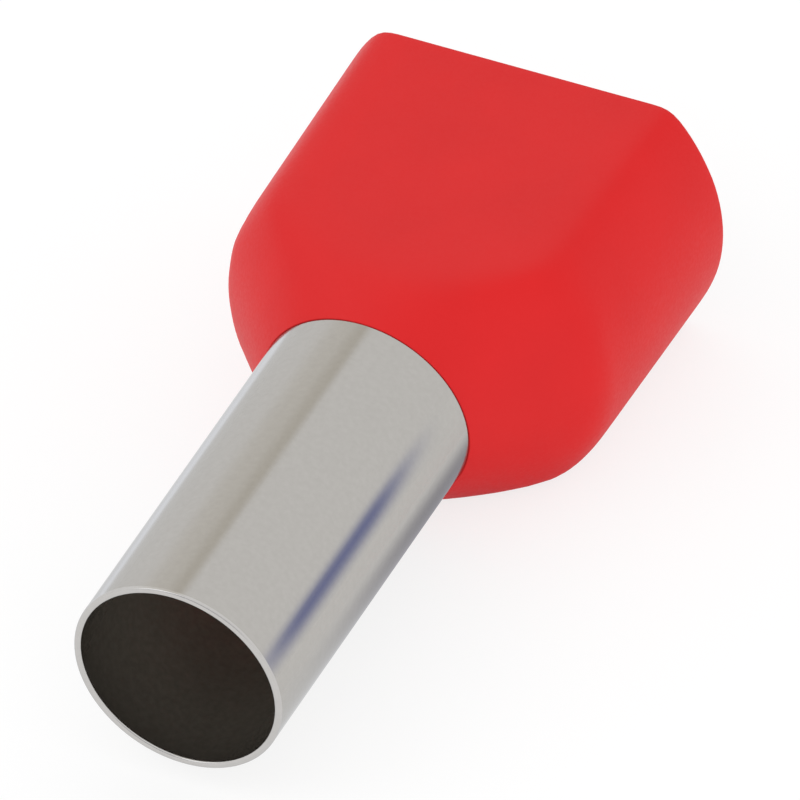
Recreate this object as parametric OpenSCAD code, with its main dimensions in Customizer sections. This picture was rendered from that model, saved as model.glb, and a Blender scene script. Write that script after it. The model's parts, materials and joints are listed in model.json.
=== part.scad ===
// Twin wire ferrule: a plated copper sleeve that grips two stranded conductors,
// with a moulded insulating collar that takes both insulated wires side by side.
// The sleeve's axis runs along Y, with its mouth at -Y and the wire entry at +Y.
// The collar lies on one of its two flats. The origin is the middle of the underside.

/* [Sleeve] */
// Outside diameter of the tube
sleeve_d = 7.0; // [5.6:0.1:7.2]
// Wall of the tube
sleeve_wall = 0.25; // [0.15:0.05:0.4]
// Bare length of the tube in front of the collar
sleeve_reach = 13.4; // [8:0.2:22]
// Length of the flared end that is wedged in the collar's neck
grip_len = 1.5; // [1:0.1:2]
// How far the flared end opens past the tube, on the radius
flare_out = 0.25; // [0.15:0.05:0.3]
// Where the flare starts, in front of the collar
flare_lead = 0.1; // [0.05:0.05:0.3]

/* [Collar] */
// Length of the collar along the axis
collar_len = 12; // [9:0.5:18]
// Thickness of the collar from flat to flat
collar_t = 8.6; // [8.4:0.1:10]
// Width of the collar at the wire entry
entry_w = 13.15; // [12.6:0.05:15]
// Width of the collar where its shoulder ends
shoulder_w = 12.9; // [12.2:0.05:15]
// Length of the conical shoulder along the axis
shoulder_len = 3.45; // [2.4:0.05:5]
// Plastic around the tube at the neck's face, where the shoulder runs out thin
neck_lip = 0.08; // [0.06:0.02:0.3]
// Wall of the body around the wires
collar_wall = 0.5; // [0.3:0.05:0.6]
// Plastic between the shoulder and the funnel, along the axis
shoulder_wall = 0.9; // [0.5:0.1:1.5]
// Gap between the tube and its seat in the neck, on the radius
seat_gap = 0.02; // [0.01:0.01:0.05]
// Ledge around the flared end, where the funnel starts
seat_ledge = 0.06; // [0.04:0.01:0.1]

/* [Rounding] */
// Radius between the flats and the round sides, at the wire entry
entry_edge_r = 1.2; // [0.8:0.1:2]
// The same radius where the shoulder ends
shoulder_edge_r = 2.0; // [1:0.1:3]
// Radius that blends the shoulder into the body
shoulder_r = 1.6; // [0.4:0.1:3]
// Rounded rim of the wire entry
rim_r = 0.12; // [0.05:0.01:0.15]
// Bevel inside the rim that leads the wires in
lead_in = 0.15; // [0.05:0.05:0.2]

/* [Hidden] */

sleeve_r = sleeve_d / 2;
bore_r = sleeve_r - sleeve_wall;
flare_slope = flare_out / (flare_lead + grip_len);
neck_r = sleeve_r + seat_gap + neck_lip;
half_t = collar_t / 2;
entry_r = entry_w / 2;
shoulder_end_r = shoulder_w / 2;

total_len = sleeve_reach + collar_len;
mouth_y = -total_len / 2;
neck_y = mouth_y + sleeve_reach;

// The shoulder and the body are two straight lines in the collar's long section,
// joined by an arc: its two ends, its centre's place on the axis and its centre's radius
shoulder_slope = atan((shoulder_end_r - neck_r) / shoulder_len);
body_slope = atan((entry_r - shoulder_end_r) / (collar_len - shoulder_len));
blend_reach = shoulder_r * tan((shoulder_slope - body_slope) / 2);
blend_start = shoulder_len - blend_reach * cos(shoulder_slope);
blend_end = shoulder_len + blend_reach * cos(body_slope);
blend_z = blend_end + shoulder_r * sin(body_slope);
blend_centre_r = shoulder_end_r + blend_reach * sin(body_slope) - shoulder_r * cos(body_slope);

quarter_n = 18;
shoulder_steps = 6;
blend_steps = 4;
overrun = 1;

// Radius of the collar's round sides, at a distance z behind the neck's face
function side_r(z) =
    z < blend_start ? neck_r + z * tan(shoulder_slope)
    : z < blend_end ? blend_centre_r + sqrt(pow(shoulder_r, 2) - pow(z - blend_z, 2))
    : shoulder_end_r + (z - shoulder_len) * tan(body_slope);

// Radius between a flat and a round side: it opens out to the full round of the neck
function edge_r(z) =
    z < shoulder_len
    ? shoulder_edge_r + (half_t - shoulder_edge_r) * pow(1 - z / shoulder_len, 2)
    : shoulder_edge_r + (entry_edge_r - shoulder_edge_r) * (z - shoulder_len) / (collar_len - shoulder_len);

// Cross-section of the collar: a circle of radius r cut by two flats, with its corners
// rounded by edge. Each point is a core point pushed out by edge along its own normal,
// worked out for one quarter and mirrored to the other three.
function cut_circle(z, r, flat, edge) =
    let (
        core_r = r - edge,
        core_t = flat - edge,
        corner = [sqrt(max(0, pow(core_r, 2) - pow(core_t, 2))), core_t],
        quarter = [for (i = [0:quarter_n])
            let (out = [cos(90 * i / quarter_n), sin(90 * i / quarter_n)])
            (core_r * out.y <= core_t ? core_r * out : corner) + edge * out]
    )
    [for (p = quarter) [p.x, p.y, z],
        for (i = [quarter_n:-1:0]) [-quarter[i].x, quarter[i].y, z],
        for (i = [1:quarter_n]) [-quarter[i].x, -quarter[i].y, z],
        for (i = [quarter_n:-1:1]) [quarter[i].x, -quarter[i].y, z]];

// The collar's cross-section at z, moved inwards by inset
function section(z, inset, at = undef) =
    cut_circle(is_undef(at) ? z : at, side_r(z) - inset, half_t - inset, edge_r(z) - inset);

// Skin over a stack of rings that have the same number of points
module loft(rings) {
    n = len(rings[0]);
    last = (len(rings) - 1) * n;
    points = [for (ring = rings) each ring];
    sides = [for (k = [0:n:last - n], i = [0:n - 1])
        let (j = (i + 1) % n)
        each [[k + i, k + n + i, k + n + j], [k + i, k + n + j, k + j]]];
    first_cap = [for (i = [0:n - 1]) i];
    last_cap = [for (i = [n - 1:-1:0]) last + i];
    polyhedron(points, concat([first_cap], sides, [last_cap]));
}

// Lays a piece drawn along Z on the sleeve's axis, starting at y
module along_axis(y) {
    translate([0, y, half_t]) rotate([-90, 0, 0]) children();
}

// Long section of the tube: rounded mouth, straight bore, end flared to a slow cone
module sleeve_profile() {
    lip_r = sleeve_wall / 2;
    flare_start = sleeve_reach - flare_lead;
    flare_end = sleeve_reach + grip_len;
    translate([sleeve_r - lip_r, lip_r]) circle(lip_r, $fn = 32);
    polygon([[bore_r, lip_r], [sleeve_r, lip_r], [sleeve_r, flare_start],
        [sleeve_r + flare_out, flare_end], [bore_r + flare_out, flare_end], [bore_r, flare_start]]);
}

module sleeve() {
    color([0.72, 0.71, 0.68])
        along_axis(mouth_y) rotate_extrude($fn = 96) sleeve_profile();
}

// Outer form of the collar: neck, conical shoulder, body with two flats, rounded rim
module collar_body() {
    shoulder_z = [for (i = [0:shoulder_steps]) blend_start * i / shoulder_steps];
    blend_zs = [for (i = [1:blend_steps]) blend_start + (blend_end - blend_start) * i / blend_steps];
    rim_rings = [for (a = [0:30:90])
        section(collar_len - rim_r, rim_r * (1 - cos(a)), collar_len - rim_r * (1 - sin(a)))];
    loft(concat([for (z = concat(shoulder_z, blend_zs)) section(z, 0)], rim_rings));
}

// Space for the two wires, and the funnel that narrows to the sleeve's flared end
module wire_space() {
    funnel_start_r = sleeve_r + flare_out + seat_gap + seat_ledge;
    funnel_end = shoulder_len + shoulder_wall;
    opening = lead_in + overrun;
    loft([
        cut_circle(grip_len, funnel_start_r, half_t, 0),
        section(funnel_end, collar_wall),
        section(collar_len - lead_in, collar_wall),
        section(collar_len - lead_in, collar_wall - opening, collar_len + overrun)
    ]);
}

// Radius of the hole in the neck, which follows the sleeve's flared end
function seat_r(z) = sleeve_r + seat_gap + (flare_lead + z) * flare_slope;

// Conical hole through the neck
module sleeve_seat() {
    seat_end = grip_len + seat_ledge / 2;
    rotate_extrude($fn = 96)
        polygon([[0, -flare_lead], [seat_r(-flare_lead), -flare_lead],
            [seat_r(seat_end), seat_end], [0, seat_end]]);
}

module collar() {
    color([0.84, 0.17, 0.18])
        along_axis(neck_y) difference() {
            collar_body();
            wire_space();
            sleeve_seat();
        }
}

sleeve();
collar();
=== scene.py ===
# %% [markdown]
# # A twin wire ferrule
# A twin ferrule joins two stranded wires in one terminal. A thin plated copper sleeve takes
# both stripped ends and is crimped, and a red plastic collar behind it takes the two
# insulated wires side by side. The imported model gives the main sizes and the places. It is
# loaded first, because each piece made below stands exactly where its solid is.

# %% Load the fixed frame
import json
import math

import bmesh
import bpy
from mathutils import Matrix, Vector


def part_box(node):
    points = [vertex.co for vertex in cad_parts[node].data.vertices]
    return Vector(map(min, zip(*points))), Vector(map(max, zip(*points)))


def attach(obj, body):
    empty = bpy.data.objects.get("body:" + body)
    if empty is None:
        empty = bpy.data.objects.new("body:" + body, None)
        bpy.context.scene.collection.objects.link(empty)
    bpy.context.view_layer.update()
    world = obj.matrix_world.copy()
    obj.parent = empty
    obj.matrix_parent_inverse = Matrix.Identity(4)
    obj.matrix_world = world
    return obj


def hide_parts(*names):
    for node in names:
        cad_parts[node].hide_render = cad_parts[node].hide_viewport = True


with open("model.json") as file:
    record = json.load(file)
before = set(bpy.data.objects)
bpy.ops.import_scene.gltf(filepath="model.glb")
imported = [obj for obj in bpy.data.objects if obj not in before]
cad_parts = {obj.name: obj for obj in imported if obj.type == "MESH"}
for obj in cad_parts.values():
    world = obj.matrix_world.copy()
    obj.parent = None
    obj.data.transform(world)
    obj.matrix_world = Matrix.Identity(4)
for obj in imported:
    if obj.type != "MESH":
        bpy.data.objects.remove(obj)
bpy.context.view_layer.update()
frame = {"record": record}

# %% [markdown]
# ## Sizes
# Everything is in metres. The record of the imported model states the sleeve's outside and
# bore as mounts, and the boxes of the two nodes give the lengths, so only the few sizes that
# neither holds are written here. The sleeve's axis runs along Y at half the collar's height.

# %% Read the driving sizes from the frame
MM = 0.001
mounts = {mount["name"]: mount for mount in frame["record"]["mounts"]}
sleeve_lo, sleeve_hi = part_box("sleeve")
collar_lo, collar_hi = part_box("collar")

tube_r = mounts["sleeve_barrel"]["dims"]["r_mm"] * MM
bore_r = mounts["sleeve_bore"]["dims"]["r_mm"] * MM
tube_wall = tube_r - bore_r
mouth_y = sleeve_lo[1]
flare_end_y = sleeve_hi[1]
flare_r = (sleeve_hi[0] - sleeve_lo[0]) / 2

neck_y = collar_lo[1]
entry_y = collar_hi[1]
flat_half = (collar_hi[2] - collar_lo[2]) / 2
entry_r = (collar_hi[0] - collar_lo[0]) / 2
axis_z = (collar_hi[2] + collar_lo[2]) / 2
axis = Vector((0, 0, axis_z))
print(f"tube {2 * tube_r / MM:.2f} mm across, wall {tube_wall / MM:.2f} mm")
print(f"collar {(entry_y - neck_y) / MM:.1f} mm long, {2 * flat_half / MM:.1f} mm thick")

# %% [markdown]
# ## Turned shapes out of one ring
# Both pieces of a ferrule are turned shapes, so both start as a ring of points around the
# axis. Two helpers do by code what is done by hand: one adds the ring and opens it in edit
# mode, and the other extrudes the selected ring along the axis and then scales it.

# %% Helpers that start a piece and draw it out
RING_POINTS = 128


def start_piece(name, radius, y):
    """Adds a ring on the axis at y as a new piece, and opens it in edit mode, all selected."""
    bpy.ops.object.select_all(action="DESELECT")
    bpy.ops.mesh.primitive_circle_add(
        vertices=RING_POINTS, radius=radius, fill_type="NOTHING",
        location=(0, y, axis_z), rotation=(math.pi / 2, 0, 0),
    )
    bpy.ops.object.transform_apply(location=True, rotation=True, scale=True)
    piece = bpy.context.object
    piece.name = piece.data.name = name
    bpy.ops.object.mode_set(mode="EDIT")
    bpy.ops.mesh.select_all(action="SELECT")
    return piece


def grow_ring(to_y, scale=1.0):
    """Extrudes the selected ring along the axis to a new place, and scales it about the axis."""
    mesh = bmesh.from_edit_mesh(bpy.context.object.data)
    from_y = next(point.co.y for point in mesh.verts if point.select)
    bpy.ops.mesh.extrude_region_move(TRANSFORM_OT_translate={"value": (0, to_y - from_y, 0)})
    bpy.ops.transform.resize(value=(scale, 1, scale), center_override=(0, to_y, axis_z))


print(f"each ring has {RING_POINTS} points")

# %% [markdown]
# ## The sleeve
# The real one is a cut length of seamless tube, tin plated, with its far end flared so that
# it wedges in the collar's neck. It could be spun from its wall's outline, or cut out of two
# cylinders. Here one ring is drawn out into a skin and Solidify gives the skin its wall: that
# keeps the wall even through the flare, as in the real tube.

# %% Draw the tube's outer skin out of one ring
flare_y = neck_y

sleeve = start_piece("plated_sleeve", tube_r, mouth_y)
grow_ring(flare_y)
grow_ring(flare_end_y, flare_r / tube_r)
print(f"straight tube {(flare_y - mouth_y) / MM:.2f} mm, then a flare to {2 * flare_r / MM:.2f} mm")

# %% Give it the wall, inwards
bpy.ops.mesh.select_all(action="SELECT")
bpy.ops.mesh.normals_make_consistent(inside=False)
bpy.ops.object.mode_set(mode="OBJECT")
wall = sleeve.modifiers.new("wall", "SOLIDIFY")
wall.thickness = tube_wall
wall.offset = -1
wall.use_even_offset = True
bpy.ops.object.modifier_apply(modifier=wall.name)
inner_r = min(math.hypot(point.co.x, point.co.z - axis_z) for point in sleeve.data.vertices)
print(f"bore {2 * inner_r / MM:.2f} mm across")

# %% [markdown]
# ## Selecting by place
# By hand, modelling is: select something, then use a tool on it. In code, `pick` selects the
# points, edges or faces that pass a test on their place, and the other helpers make such
# tests. The sizes stay exact, because a test looks at places and never at index numbers,
# which change with every tool.

# %% Helpers that select
SAME_PLACE = 1e-6
HARD_TURN = math.radians(60)


def pick(kind, test):
    """Selects the points (VERT), edges (EDGE) or faces (FACE) that pass a test, and counts them."""
    bpy.ops.mesh.select_mode(type=kind)
    bpy.ops.mesh.select_all(action="DESELECT")
    mesh = bmesh.from_edit_mesh(bpy.context.object.data)
    parts = {"VERT": mesh.verts, "EDGE": mesh.edges, "FACE": mesh.faces}[kind]
    chosen = [part for part in parts if test(part)]
    for part in chosen:
        part.select = True
    mesh.select_flush_mode()
    bmesh.update_edit_mesh(bpy.context.object.data)
    return len(chosen)


def on_ring(y):
    """A test for edges that lie in the plane across the axis at y."""
    return lambda edge: all(abs(point.co.y - y) < SAME_PLACE for point in edge.verts)


def corner_on(y, beyond=lambda place: True):
    """A test for the edges at y where the surface turns a hard corner."""
    return lambda edge: (on_ring(y)(edge) and edge.calc_face_angle(0) > HARD_TURN
                         and all(beyond(point.co) for point in edge.verts))


print(f"a hard corner turns by more than {math.degrees(HARD_TURN):.0f} degrees")

# %% [markdown]
# The cut mouth of the real sleeve is tumbled, so its edge is a small full round and not two
# sharp corners. A bevel of both edge rings by nearly half the wall makes it, and it matters
# more than its size suggests: this thin round edge catches the light as a bright line.

# %% Round the mouth, and finish the sleeve
SHARP_OVER = math.radians(35)
mouth_round = 0.46 * tube_wall


def finish_piece(piece):
    """Leaves edit mode with outward faces, smooth shading and crisp edges where it turns hard."""
    bpy.ops.mesh.select_all(action="SELECT")
    bpy.ops.mesh.normals_make_consistent(inside=False)
    bpy.ops.object.mode_set(mode="OBJECT")
    bpy.ops.object.shade_smooth_by_angle(angle=SHARP_OVER)
    print(f"{piece.name}: {len(piece.data.vertices)} points, {len(piece.data.polygons)} faces")


bpy.ops.object.mode_set(mode="EDIT")
mouth_edges = pick("EDGE", corner_on(mouth_y))
bpy.ops.mesh.bevel(offset=mouth_round, segments=5, affect="EDGES")
print(f"rounded {mouth_edges} edges of the mouth")
finish_piece(sleeve)

# %% [markdown]
# ## The collar
# It is moulded in one piece: a neck that grips the tube, a conical shoulder and a body that
# is round at the sides and flat above and below, hollow for the two wires. The real form is
# a turned shape with two flats, and so is the mesh. The outer skin is drawn out of the neck's
# ring, its shoulder is rounded with a bevel, and whatever stands above the flats is then
# pressed onto them by a scale of zero. Cutting with a block would leave hard jagged edges.

# %% The outer skin's own sizes
neck_lip = 0.04 * MM
neck_r = tube_r + neck_lip
shoulder_y = neck_y + 3.45 * MM
shoulder_r = 6.45 * MM
shoulder_round = 1.6 * MM

cone_slope = math.atan2(shoulder_r - neck_r, shoulder_y - neck_y)
body_slope = math.atan2(entry_r - shoulder_r, entry_y - shoulder_y)
blend_reach = shoulder_round * math.tan((cone_slope - body_slope) / 2)
print(f"cone of {math.degrees(cone_slope):.1f} degrees, blended over {blend_reach / MM:.2f} mm")

# %% Draw the turned outer skin
outer = start_piece("outer_skin", neck_r, neck_y)
grow_ring(shoulder_y, shoulder_r / neck_r)
grow_ring(entry_y, entry_r / shoulder_r)
shoulder_edges = pick("EDGE", on_ring(shoulder_y))
bpy.ops.mesh.bevel(offset=blend_reach, segments=3, affect="EDGES")
print(f"outer skin turned, and {shoulder_edges} edges of its shoulder rounded")

# %% [markdown]
# Pressing the flats and softening their edges needs points close together along the axis
# too, so each long band is divided into rings. Subdividing an edge ring does what a loop cut
# does by hand, and needs no window.

# %% Divide the long bands into rings
mesh_step = 0.32 * MM


def along_band(low, high):
    """A test for the edges of a band, from y of low to y of high, that run along the axis."""
    return lambda edge: (
        all(low - SAME_PLACE < point.co.y < high + SAME_PLACE for point in edge.verts)
        and abs(edge.verts[0].co.y - edge.verts[1].co.y) > 0.5 * (high - low)
    )


def divide_bands():
    """Divides every band that is long along the axis into steps of about mesh_step."""
    mesh = bmesh.from_edit_mesh(bpy.context.object.data)
    levels = sorted({round(point.co.y, 7) for point in mesh.verts})
    for low, high in zip(levels, levels[1:]):
        cuts = round((high - low) / mesh_step) - 1
        if cuts > 0:
            pick("EDGE", along_band(low, high))
            bpy.ops.mesh.subdivide_edgering(number_cuts=cuts, interpolation="LINEAR", smoothness=0)
    mesh = bmesh.from_edit_mesh(bpy.context.object.data)
    print(len({round(point.co.y, 7) for point in mesh.verts}), "rings along the axis")


divide_bands()

# %% [markdown]
# A point above the upper flat is scaled to nothing in Z about that plane, and the same below.
# That leaves a sharp edge, where the moulded collar has one that opens out towards the neck:
# about 1.2 mm of radius at the wire entry, 2 mm where the shoulder ends, and more beyond.
# Smoothing only the points near the edge rounds it, and the more passes a point gets, the
# larger the radius there. The zone narrows with each pass, so that it ends without a step.
# The neck's ring is left out, because the tube needs it round.

# %% How far each smoothing pass goes
WIDEST_ZONE, NARROWEST_ZONE = 2.4 * MM, 0.8 * MM
entry_passes, shoulder_passes, neck_passes = 4, 12, 16


def side_r(y):
    """Radius of the turned outer skin at y, before the flats are pressed."""
    if y < shoulder_y:
        return neck_r + (y - neck_y) * math.tan(cone_slope)
    return shoulder_r + (y - shoulder_y) * math.tan(body_slope)


def passes_reach(turn):
    """Where a pass ends along the axis: the first at the wire entry, the last near the neck."""
    if turn < entry_passes:
        return entry_y
    if turn < shoulder_passes:
        share = (turn - entry_passes) / (shoulder_passes - entry_passes)
        return entry_y + (shoulder_y - entry_y) * share
    share = (turn - shoulder_passes) / (neck_passes - shoulder_passes)
    return shoulder_y + (neck_y - shoulder_y) * share


last_reach = passes_reach(neck_passes - 1) - neck_y
print(f"{neck_passes} passes, of which the last ends {last_reach / MM:.1f} mm behind the neck")


# %% Press the flats and soften their edges
def near_edge(half, inset, zone, from_y, to_y):
    """A test for the points between from_y and to_y that are near an edge of a flat."""
    return lambda point: (
        from_y < point.co.y < to_y
        and abs(point.co.z - axis_z) > half - zone
        and math.hypot(point.co.x, half) > side_r(point.co.y) - inset - zone
    )


def press_flats(half, inset=0.0):
    """Presses a skin, inset from the outer one, onto flats at half from the axis, and rounds
    their edges."""
    for side in (1, -1):
        pick("VERT", lambda point: side * (point.co.z - axis_z) > half)
        bpy.ops.transform.resize(value=(1, 1, 0), center_override=(0, 0, axis_z + side * half))
    mesh = bmesh.from_edit_mesh(bpy.context.object.data)
    past_first_ring = min(point.co.y for point in mesh.verts) + 0.1 * mesh_step
    for turn in range(neck_passes):
        zone = WIDEST_ZONE + (NARROWEST_ZONE - WIDEST_ZONE) * turn / neck_passes
        end_y = passes_reach(turn) + SAME_PLACE
        if pick("VERT", near_edge(half, inset, zone, past_first_ring, end_y)):
            bpy.ops.mesh.vertices_smooth(factor=0.5, repeat=1, yaxis=False)


press_flats(flat_half)
bpy.ops.object.mode_set(mode="OBJECT")
print("outer skin pressed")

# %% [markdown]
# ## The hollow for the wires
# The inner skin starts as the cone that holds the sleeve's flared end. A small ledge leads on
# to the funnel, which guides the strands into the tube, and the rest follows the outer skin at
# one wall's distance. Solidify would give the cone and the funnel the same wall as the body,
# which the real mould doesn't, so this skin is drawn like the first and the two are bridged.

# %% The inner skin's own sizes
collar_wall = 0.5 * MM
seat_gap = 0.004 * MM
ledge = 0.06 * MM
funnel_end_y = shoulder_y + 0.9 * MM

seat_r = tube_r + seat_gap
seat_end_r = flare_r + seat_gap
funnel_r = seat_end_r + ledge
funnel_end_r = side_r(funnel_end_y) - collar_wall
inner_entry_r = entry_r - collar_wall
print(f"funnel from {2 * funnel_r / MM:.2f} to {2 * funnel_end_r / MM:.2f} mm wide")

# %% Draw the inner skin
inner = start_piece("inner_skin", funnel_r, flare_end_y)
grow_ring(funnel_end_y, funnel_end_r / funnel_r)
grow_ring(entry_y, inner_entry_r / funnel_end_r)
divide_bands()
press_flats(flat_half - collar_wall, inset=collar_wall)
pick("EDGE", on_ring(flare_end_y))
grow_ring(flare_end_y, seat_end_r / funnel_r)
grow_ring(neck_y, seat_r / seat_end_r)
bpy.ops.object.mode_set(mode="OBJECT")
print(f"inner skin drawn, {len(inner.data.vertices)} points")

# %% Join the skins and bridge them at the neck and at the rim
bpy.ops.object.select_all(action="DESELECT")
inner.select_set(True)
outer.select_set(True)
bpy.context.view_layer.objects.active = outer
bpy.ops.object.join()
collar = outer
collar.name = collar.data.name = "moulded_collar"
bpy.ops.object.mode_set(mode="EDIT")
for y in (neck_y, entry_y):
    pick("EDGE", on_ring(y))
    bpy.ops.mesh.bridge_edge_loops()
mesh = bmesh.from_edit_mesh(collar.data)
print("open edges left:", sum(edge.is_boundary for edge in mesh.edges))

# %% [markdown]
# The rim of the wire entry has a small round outside and a flat lead-in inside, which keeps
# the insulation from catching. Both are bevels of one edge ring, taken one at a time.

# %% Round the rim, and bevel its inner edge
rim_round = 0.12 * MM
lead_in = 0.15 * MM


def outside(place):
    """True for a place on the outer skin: it is over half a wall further out than the inner."""
    return (abs(place.z - axis_z) > flat_half - collar_wall / 2
            or math.hypot(place.x, place.z - axis_z) > entry_r - collar_wall / 2)


outer_edges = pick("EDGE", corner_on(entry_y, outside))
bpy.ops.mesh.bevel(offset=rim_round, segments=4, affect="EDGES")
inner_edges = pick("EDGE", corner_on(entry_y, lambda place: not outside(place)))
bpy.ops.mesh.bevel(offset=lead_in, segments=2, affect="EDGES")
print(f"rounded {outer_edges} edges outside and bevelled {inner_edges} inside")
finish_piece(collar)

# %% [markdown]
# ## Each piece stands for its solid
# The two meshes have the form of the solids and replace them, so the solids stay for the
# simulation alone. Both ride on the one body that the part has.

# %% Replace the solids
for piece, node, slot in ((sleeve, "sleeve", "plated_copper"), (collar, "collar", "red_plastic")):
    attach(piece, "root")
    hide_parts(node)
    print(piece.name, "stands for", node)

# %% [markdown]
# ## Finishes
# Both pieces get node materials on Object coordinates, in metres, so that their detail keeps
# its real scale. They could be painted on a UV map, but a noise in space needs none and has
# no seams. The helpers add a noise stretched along each axis, and put it to use.

# %% Helpers for patterns
NOISE_LOW, NOISE_HIGH = 0.3, 0.7


def new_finish(name):
    """Makes a material. Returns it with its node tree and its Principled shader."""
    finish = bpy.data.materials.new(name)
    finish.use_nodes = True
    return finish, finish.node_tree, finish.node_tree.nodes["Principled BSDF"]


def noise(tree, per_mm, detail=3.0):
    """Noise with so many cells in each millimetre along X, Y and Z."""
    place = tree.nodes.new("ShaderNodeTexCoord")
    stretch = tree.nodes.new("ShaderNodeMapping")
    stretch.inputs["Scale"].default_value = [cells / MM for cells in per_mm]
    pattern = tree.nodes.new("ShaderNodeTexNoise")
    pattern.inputs["Scale"].default_value = 1.0
    pattern.inputs["Detail"].default_value = detail
    tree.links.new(place.outputs["Object"], stretch.inputs["Vector"])
    tree.links.new(stretch.outputs["Vector"], pattern.inputs["Vector"])
    return pattern.outputs["Fac"]


def spread(tree, factor, low, high):
    """Maps the range in which most of a noise lies onto low to high."""
    ranges = tree.nodes.new("ShaderNodeMapRange")
    ranges.inputs["From Min"].default_value = NOISE_LOW
    ranges.inputs["From Max"].default_value = NOISE_HIGH
    ranges.inputs["To Min"].default_value = low
    ranges.inputs["To Max"].default_value = high
    tree.links.new(factor, ranges.inputs["Value"])
    return ranges.outputs["Result"]


def blend_colours(tree, factor, first, second):
    """Mixes two colours by a pattern."""
    mix = tree.nodes.new("ShaderNodeMix")
    mix.data_type = "RGBA"
    mix.inputs["A"].default_value = (*first, 1)
    mix.inputs["B"].default_value = (*second, 1)
    tree.links.new(factor, mix.inputs["Factor"])
    return mix.outputs["Result"]


def bump(tree, shader, height, depth, under=None):
    """Raises the surface by a pattern, depth metres at most, over another bump if given."""
    node = tree.nodes.new("ShaderNodeBump")
    node.inputs["Strength"].default_value = 1.0
    node.inputs["Distance"].default_value = depth
    tree.links.new(height, node.inputs["Height"])
    if under:
        tree.links.new(under, node.inputs["Normal"])
    tree.links.new(node.outputs["Normal"], shader.inputs["Normal"])
    return node.outputs["Normal"]


print(f"patterns use the noise between {NOISE_LOW} and {NOISE_HIGH}")

# %% [markdown]
# The plating is tin: a warm light grey metal, smooth but not a mirror. Drawing the tube
# leaves faint lines along it, and the plating bath a very fine mottle, so one noise is
# stretched along Y and another is even. Both are far too shallow to see except where they
# break up a reflection. The cut edge of the mouth is painted a little lighter than the wall,
# as a painted highlight. Inside the long thin bore the plating is rougher and less of a metal,
# and its dark colour is painted shade. Seen from the mouth a bore looks evenly dark, but
# little light gets far into it, so painted light makes its colour grow lighter with depth and
# keeps it from ending in black.

# %% A plating that can have painted light inside
EDGE_TINT = (0.84, 0.85, 0.87, 1)
MOTTLE_PER_MM = (5, 5, 5)
LINES_PER_MM = (6, 0.12, 6)
MOTTLE_DEPTH = 0.0006 * MM
LINE_DEPTH = 0.0012 * MM


def paint_light_with_depth(tree, colour, gain):
    """Paints light into a colour: multiplies it by 1 at the mouth and by gain one tube width
    further in.
    """
    place = tree.nodes.new("ShaderNodeTexCoord")
    split = tree.nodes.new("ShaderNodeSeparateXYZ")
    tree.links.new(place.outputs["Object"], split.inputs["Vector"])
    depth = tree.nodes.new("ShaderNodeMapRange")
    depth.inputs["From Min"].default_value = mouth_y
    depth.inputs["From Max"].default_value = mouth_y + 2 * tube_r
    depth.inputs["To Min"].default_value = 1.0
    depth.inputs["To Max"].default_value = gain
    tree.links.new(split.outputs["Y"], depth.inputs["Value"])
    scale = tree.nodes.new("ShaderNodeVectorMath")
    scale.operation = "SCALE"
    tree.links.new(colour, scale.inputs["Vector"])
    tree.links.new(depth.outputs["Result"], scale.inputs["Scale"])
    return scale.outputs["Vector"]


def plating(name, colour, darker, roughness, metal=1.0, painted_light_gain=1.0):
    """Tin with two noises in it. Its colour and its roughness each run between two values, and
    as painted light both colours are painted_light_gain times as light one tube width behind the
    mouth."""
    finish, tree, shader = new_finish(name)
    shader.inputs["Metallic"].default_value = metal
    shader.inputs["Specular Tint"].default_value = EDGE_TINT
    mottle = noise(tree, MOTTLE_PER_MM)
    lines = noise(tree, LINES_PER_MM, detail=4.0)
    skin = blend_colours(tree, spread(tree, mottle, 0, 1), colour, darker)
    # painted light: the colour grows lighter with depth into the bore
    if painted_light_gain != 1.0:
        skin = paint_light_with_depth(tree, skin, painted_light_gain)
    tree.links.new(skin, shader.inputs["Base Color"])
    tree.links.new(spread(tree, lines, *roughness), shader.inputs["Roughness"])
    drawn = bump(tree, shader, lines, LINE_DEPTH)
    bump(tree, shader, mottle, MOTTLE_DEPTH, drawn)
    return finish


print(f"drawn lines {1 / LINES_PER_MM[1]:.0f} mm long and {1 / LINES_PER_MM[0]:.2f} mm apart")

# %% Three platings: outside, inside with painted shade and light, and on the cut edge with a painted highlight
bright_tin = plating("bright_tin", (0.48, 0.465, 0.44), (0.46, 0.445, 0.42), (0.10, 0.15))
# the bore's dark colour is painted shade, and painted light lightens it with depth
bore_tin_painted_shade = plating("bore_tin_painted_shade", (0.060, 0.053, 0.044), (0.050, 0.044, 0.036), (0.20, 0.26),
                   metal=0.4, painted_light_gain=6.2)
# the cut edge's lighter colour is a painted highlight
cut_edge_painted_highlight = plating("cut_edge_painted_highlight", (0.56, 0.545, 0.53), (0.54, 0.525, 0.51), (0.16, 0.22))
for finish in (bright_tin, bore_tin_painted_shade, cut_edge_painted_highlight):
    sleeve.data.materials.append(finish)
print("the sleeve has", [finish.name for finish in sleeve.data.materials])

# %% Give each part of the sleeve its plating
LOOKS_IN = -0.3
edge_end_y = mouth_y + 0.5 * tube_wall


def faces_inward(face):
    """True for a face that looks at the sleeve's axis."""
    outward = face.calc_center_median() - axis
    outward.y = 0
    return face.normal.dot(outward) < LOOKS_IN * outward.length


def on_cut_edge(face):
    """True for a face of the mouth's round edge."""
    return face.calc_center_median().y < edge_end_y


bpy.ops.object.select_all(action="DESELECT")
bpy.context.view_layer.objects.active = sleeve
bpy.ops.object.mode_set(mode="EDIT")
for finish, test in ((bore_tin_painted_shade, faces_inward), (cut_edge_painted_highlight, on_cut_edge)):
    count = pick("FACE", test)
    sleeve.active_material_index = sleeve.data.materials.find(finish.name)
    bpy.ops.object.material_slot_assign()
    print(f"{count} faces take {sleeve.active_material.name}")
bpy.ops.object.mode_set(mode="OBJECT")

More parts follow.
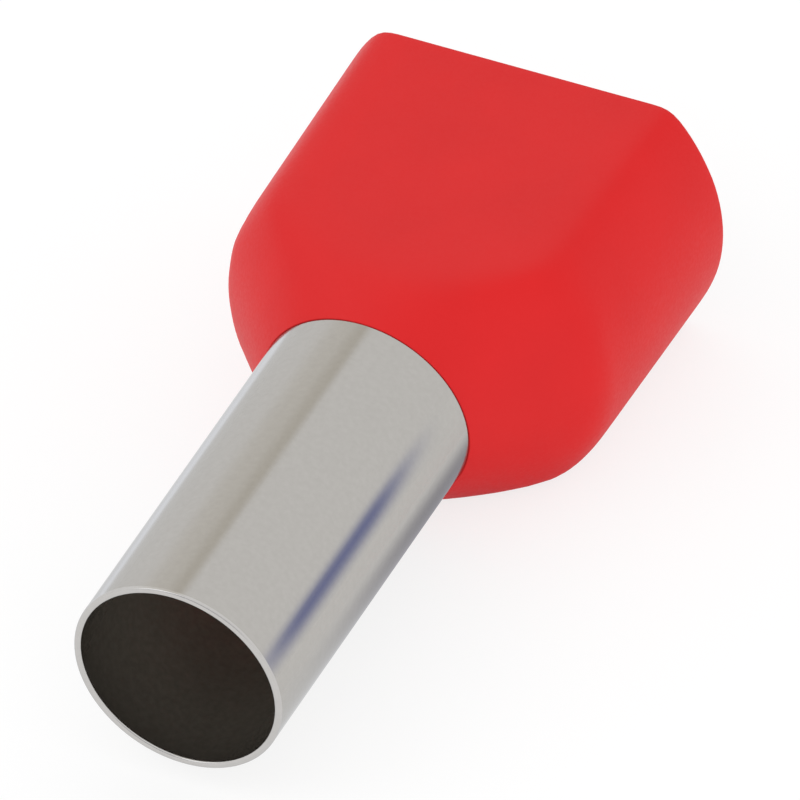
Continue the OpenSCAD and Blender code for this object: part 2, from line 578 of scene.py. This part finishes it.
# %% [markdown]
# The collar is polypropylene, coloured right through: a deep saturated red with a satin skin.
# The mould's fine spark texture gives the skin a grain of about a tenth of a millimetre, and
# one colour all over would look painted on, so a slow cloud of a deeper red runs through it.

# %% The red plastic
RED, DEEPER_RED = (0.725, 0.0140, 0.0150), (0.695, 0.0130, 0.0140)
SATIN = (0.48, 0.58)
CLOUDS_PER_MM = (0.35, 0.35, 0.35)
GRAIN_PER_MM = (9, 9, 9)
GRAIN_DEPTH = 0.004 * MM

satin_red, tree, shader = new_finish("satin_red")
cloud = noise(tree, CLOUDS_PER_MM)
grain = noise(tree, GRAIN_PER_MM, detail=2.0)
skin = blend_colours(tree, spread(tree, cloud, 0, 1), RED, DEEPER_RED)
tree.links.new(skin, shader.inputs["Base Color"])
tree.links.new(spread(tree, grain, *SATIN), shader.inputs["Roughness"])
shader.inputs["Specular IOR Level"].default_value = 0.17
bump(tree, shader, grain, GRAIN_DEPTH)
collar.data.materials.append(satin_red)
print("finishes:", [finish.name for finish in bpy.data.materials if finish.users])

# %% [markdown]
# ## Floor and room
# The floor and the room are white to the camera and in reflections, as in a studio with a
# paper sweep, and all other rays meet a plain pale floor in an evenly lit room. Light Path
# tells the two kinds of ray apart. What the camera sees of the floor is mostly a glow, with a
# share of plain paper in it, which is what darkens in the part's shadow.

# %% A helper that tells the rays apart
SEEING_RAYS = ("Is Camera Ray", "Is Glossy Ray", "Is Transmission Ray")


def is_seen(tree):
    """1 for rays from the camera, off glossy surfaces or through glass, and 0 for the others."""
    path = tree.nodes.new("ShaderNodeLightPath")
    total = path.outputs[SEEING_RAYS[0]]
    for name in SEEING_RAYS[1:]:
        add = tree.nodes.new("ShaderNodeMath")
        add.operation = "ADD"
        add.use_clamp = True
        tree.links.new(total, add.inputs[0])
        tree.links.new(path.outputs[name], add.inputs[1])
        total = add.outputs["Value"]
    return total


print("rays that see:", SEEING_RAYS)

# %% The floor
PAPER = 0.97
SHADOW_SHARE = 0.24
SEEN_WHITE = 1.02

bpy.ops.object.select_all(action="DESELECT")
bpy.ops.mesh.primitive_plane_add(size=3)
floor = bpy.context.object
floor.name = "floor"
paper = bpy.data.materials.new("white_paper")
paper.use_nodes = True
tree = paper.node_tree
tree.nodes.clear()
output = tree.nodes.new("ShaderNodeOutputMaterial")
plain = tree.nodes.new("ShaderNodeBsdfDiffuse")
plain.inputs["Color"].default_value = (PAPER, PAPER, PAPER, 1)
faint = tree.nodes.new("ShaderNodeBsdfDiffuse")
faint.inputs["Color"].default_value = (SHADOW_SHARE, SHADOW_SHARE, SHADOW_SHARE, 1)
glow = tree.nodes.new("ShaderNodeEmission")
glow.inputs["Strength"].default_value = SEEN_WHITE - SHADOW_SHARE
both = tree.nodes.new("ShaderNodeAddShader")
tree.links.new(faint.outputs["BSDF"], both.inputs[0])
tree.links.new(glow.outputs["Emission"], both.inputs[1])
switch = tree.nodes.new("ShaderNodeMixShader")
tree.links.new(is_seen(tree), switch.inputs["Fac"])
tree.links.new(plain.outputs["BSDF"], switch.inputs[1])
tree.links.new(both.outputs["Shader"], switch.inputs[2])
tree.links.new(switch.outputs["Shader"], output.inputs["Surface"])
floor.data.materials.append(paper)
print(f"{floor.name} in {paper.name}")

# %% The room
ROOM_LIGHT = 0.92

world = bpy.data.worlds.new("studio")
bpy.context.scene.world = world
world.use_nodes = True
tree = world.node_tree
sky = tree.nodes["Background"]
level = tree.nodes.new("ShaderNodeMapRange")
level.inputs["To Min"].default_value = ROOM_LIGHT
level.inputs["To Max"].default_value = 1.0
tree.links.new(is_seen(tree), level.inputs["Value"])
tree.links.new(level.outputs["Result"], sky.inputs["Strength"])
sky.inputs["Color"].default_value = (1, 1, 1, 1)
print(f"the {world.name} lights with a strength of {ROOM_LIGHT} and looks white")


# %% [markdown]
# ## Lamps
# Light from all round alone would show the collar as one flat patch of red. A large soft lamp
# above and to the left shapes it, and a smaller one, low on the right, keeps its far side
# bright. That one is left out of reflections, where the plated rim would show it as a glint.

# %% Two soft lamps
def soft_lamp(name, place, size, watts, colour=(1, 1, 1)):
    """A square lamp that points at the part and isn't seen by the camera itself."""
    data = bpy.data.lights.new(name, "AREA")
    data.size = size
    data.energy = watts
    data.color = colour
    lamp = bpy.data.objects.new(name, data)
    bpy.context.collection.objects.link(lamp)
    lamp.location = place
    lamp.rotation_euler = (axis - Vector(place)).to_track_quat("-Z", "Y").to_euler()
    lamp.visible_camera = False
    return lamp


key = soft_lamp("key_lamp", (-0.26, -0.22, 0.36), 0.28, 0.20, (0.94, 0.97, 1.0))
fill = soft_lamp("fill_lamp", (0.42, -0.34, 0.11), 0.20, 0.29)
fill.visible_glossy = False
for lamp in (key, fill):
    print(f"{lamp.name}: {lamp.data.energy:.2f} W at {(lamp.location - axis).length:.2f} m")

# %% [markdown]
# ## Cards for the metal
# Polished metal shows its surroundings, and in a plain white room a tube looks like paper. As
# in a studio, cards give it its lines. A narrow dark one stands low beside the collar and draws
# the blue line, and a large grey one hangs above. A third, grey, lies on the floor beside the
# part as a painted shadow: it stands for the part's shadow on the floor, which darkens the
# tube's lower edge in reflection. A bright one on the other side lifts the collar's shoulder,
# and one in front gives the metal its lines in the views from behind. Each fades to the white
# of the room, except where the shadow card ends under the part, and only reflections see them.

# %% What a card shows
WHITE = (1, 1, 1)


def card_glow(name, tones, end_fade):
    """A glowing material for a plane of size 1. Its tones run across it from side to side, each
    as (share of the width, colour), and both ends fade to white over end_fade of the length."""
    finish = bpy.data.materials.new(name)
    finish.use_nodes = True
    tree = finish.node_tree
    tree.nodes.clear()
    # on a plane of size 1, X and Y run from -0.5 to 0.5
    spot = tree.nodes.new("ShaderNodeTexCoord")
    split = tree.nodes.new("ShaderNodeSeparateXYZ")
    tree.links.new(spot.outputs["Object"], split.inputs["Vector"])
    across = tree.nodes.new("ShaderNodeMath")
    across.inputs[1].default_value = 0.5
    tree.links.new(split.outputs["X"], across.inputs[0])
    ramp = tree.nodes.new("ShaderNodeValToRGB")
    ramp.color_ramp.interpolation = "EASE"
    stops = ramp.color_ramp.elements
    while len(stops) < len(tones):
        stops.new(0.5)
    for stop, (share, colour) in zip(stops, tones):
        stop.position = share
        stop.color = (*colour, 1)
    tree.links.new(across.outputs["Value"], ramp.inputs["Fac"])
    away = tree.nodes.new("ShaderNodeMath")
    away.operation = "ABSOLUTE"
    tree.links.new(split.outputs["Y"], away.inputs[0])
    end = tree.nodes.new("ShaderNodeMapRange")
    end.interpolation_type = "SMOOTHSTEP"
    end.inputs["From Min"].default_value = 0.5 * (1 - end_fade)
    end.inputs["From Max"].default_value = 0.5
    tree.links.new(away.outputs["Value"], end.inputs["Value"])
    mix = tree.nodes.new("ShaderNodeMix")
    mix.data_type = "RGBA"
    mix.inputs["B"].default_value = (*WHITE, 1)
    tree.links.new(end.outputs["Result"], mix.inputs["Factor"])
    tree.links.new(ramp.outputs["Color"], mix.inputs["A"])
    light = tree.nodes.new("ShaderNodeEmission")
    output = tree.nodes.new("ShaderNodeOutputMaterial")
    tree.links.new(mix.outputs["Result"], light.inputs["Color"])
    tree.links.new(light.outputs["Emission"], output.inputs["Surface"])
    return finish


print("cards fade to", WHITE)


# %% Place the five cards
def card(name, place, size, turn, tones, end_fade):
    """A flat card that glows in its tones and is seen in reflections alone."""
    bpy.ops.object.select_all(action="DESELECT")
    bpy.ops.mesh.primitive_plane_add(size=1, location=place, rotation=turn)
    board = bpy.context.object
    board.name = name
    board.scale = (*size, 1)
    board.data.materials.append(card_glow(name, tones, end_fade))
    for sense in ("camera", "diffuse", "transmission", "volume_scatter", "shadow"):
        setattr(board, f"visible_{sense}", False)
    print(f"{name}: {size[0] / MM:.0f} by {size[1] / MM:.0f} mm")


ON_FLOOR = 0.02 * MM

card(
    "dark_card", place=(12 * MM, -1.8 * MM, 4.8 * MM), size=(6.2 * MM, 15 * MM),
    turn=(0, math.pi / 2, 0), end_fade=0.7,
    tones=((0, WHITE), (0.40, (0.27, 0.30, 0.56)), (1, WHITE)),
)
card(
    "grey_card", place=(-0.245, 0.3, 0.25), size=(0.41, 0.9), turn=(0, 0, 0), end_fade=0.1,
    tones=((0, WHITE), (0.7, (0.90, 0.88, 0.84)), (0.9, (0.78, 0.75, 0.69)), (1, WHITE)),
)
# painted shadow: a grey card under the part stands for its shadow on the floor, seen in reflections
card(
    "painted_shadow_card", place=(4.5 * MM, 3 * MM, ON_FLOOR), size=(8 * MM, 26 * MM),
    turn=(0, 0, 0), end_fade=0.9,
    tones=((0, (0.50, 0.48, 0.52)), (0.5, (0.50, 0.49, 0.53)), (1, WHITE)),
)
card(
    "side_card", place=(-20 * MM, 15 * MM, ON_FLOOR), size=(26 * MM, 50 * MM),
    turn=(0, 0, 0), end_fade=0.6,
    tones=((0, WHITE), (0.5, (1.3, 1.33, 1.4)), (1, WHITE)),
)
card(
    "front_card", place=(0, -0.45, 0.36), size=(0.34, 1.4),
    turn=(0, math.pi / 2, -math.pi / 2), end_fade=0.5,
    tones=((0, WHITE), (0.5, (0.34, 0.35, 0.39)), (1, WHITE)),
)

# %% [markdown]
# ## Camera
# It looks from the front, a little from the right and well from above, with a slight roll. A
# long lens far away keeps the perspective weak, as suits a small part. The middle of its view
# is stated as a shift to the right and up from a place on the sleeve's axis.

# %% Place the camera
view_azimuth, view_elevation, view_roll = (math.radians(a) for a in (27.58, 41.26, -3.35))
view_width = 24.55 * MM
view_distance = 850 * MM
aim = axis + Vector((0, 0.3 * MM, 0))
shift_right, shift_up = 1.2186 * MM, 0.5407 * MM

back = Vector((math.sin(view_azimuth) * math.cos(view_elevation),
               -math.cos(view_azimuth) * math.cos(view_elevation), math.sin(view_elevation)))
level_right = Vector((math.cos(view_azimuth), math.sin(view_azimuth), 0))
level_up = back.cross(level_right)
right = level_right * math.cos(view_roll) + level_up * math.sin(view_roll)
up = level_up * math.cos(view_roll) - level_right * math.sin(view_roll)
centre = aim + right * shift_right + up * shift_up

lens = bpy.data.cameras.new("camera")
lens.sensor_width = 36
lens.lens = lens.sensor_width * view_distance / view_width
lens.clip_start = 0.01
lens.clip_end = 10
camera = bpy.data.objects.new("camera", lens)
bpy.context.collection.objects.link(camera)
camera.matrix_world = Matrix((
    (right.x, up.x, back.x, centre.x + back.x * view_distance),
    (right.y, up.y, back.y, centre.y + back.y * view_distance),
    (right.z, up.z, back.z, centre.z + back.z * view_distance),
    (0, 0, 0, 1),
))
bpy.context.scene.camera = camera
bpy.context.scene.view_settings.view_transform = "Standard"
print(f"lens {lens.lens:.0f} mm at {view_distance:.2f} m")

# %% [markdown]
# ## The last look
# The shown box should agree with the solids' box, since each mesh stands for its solid. The
# view layer is brought up to date at the end.

# %% Bring the scene up to date
bpy.context.view_layer.update()
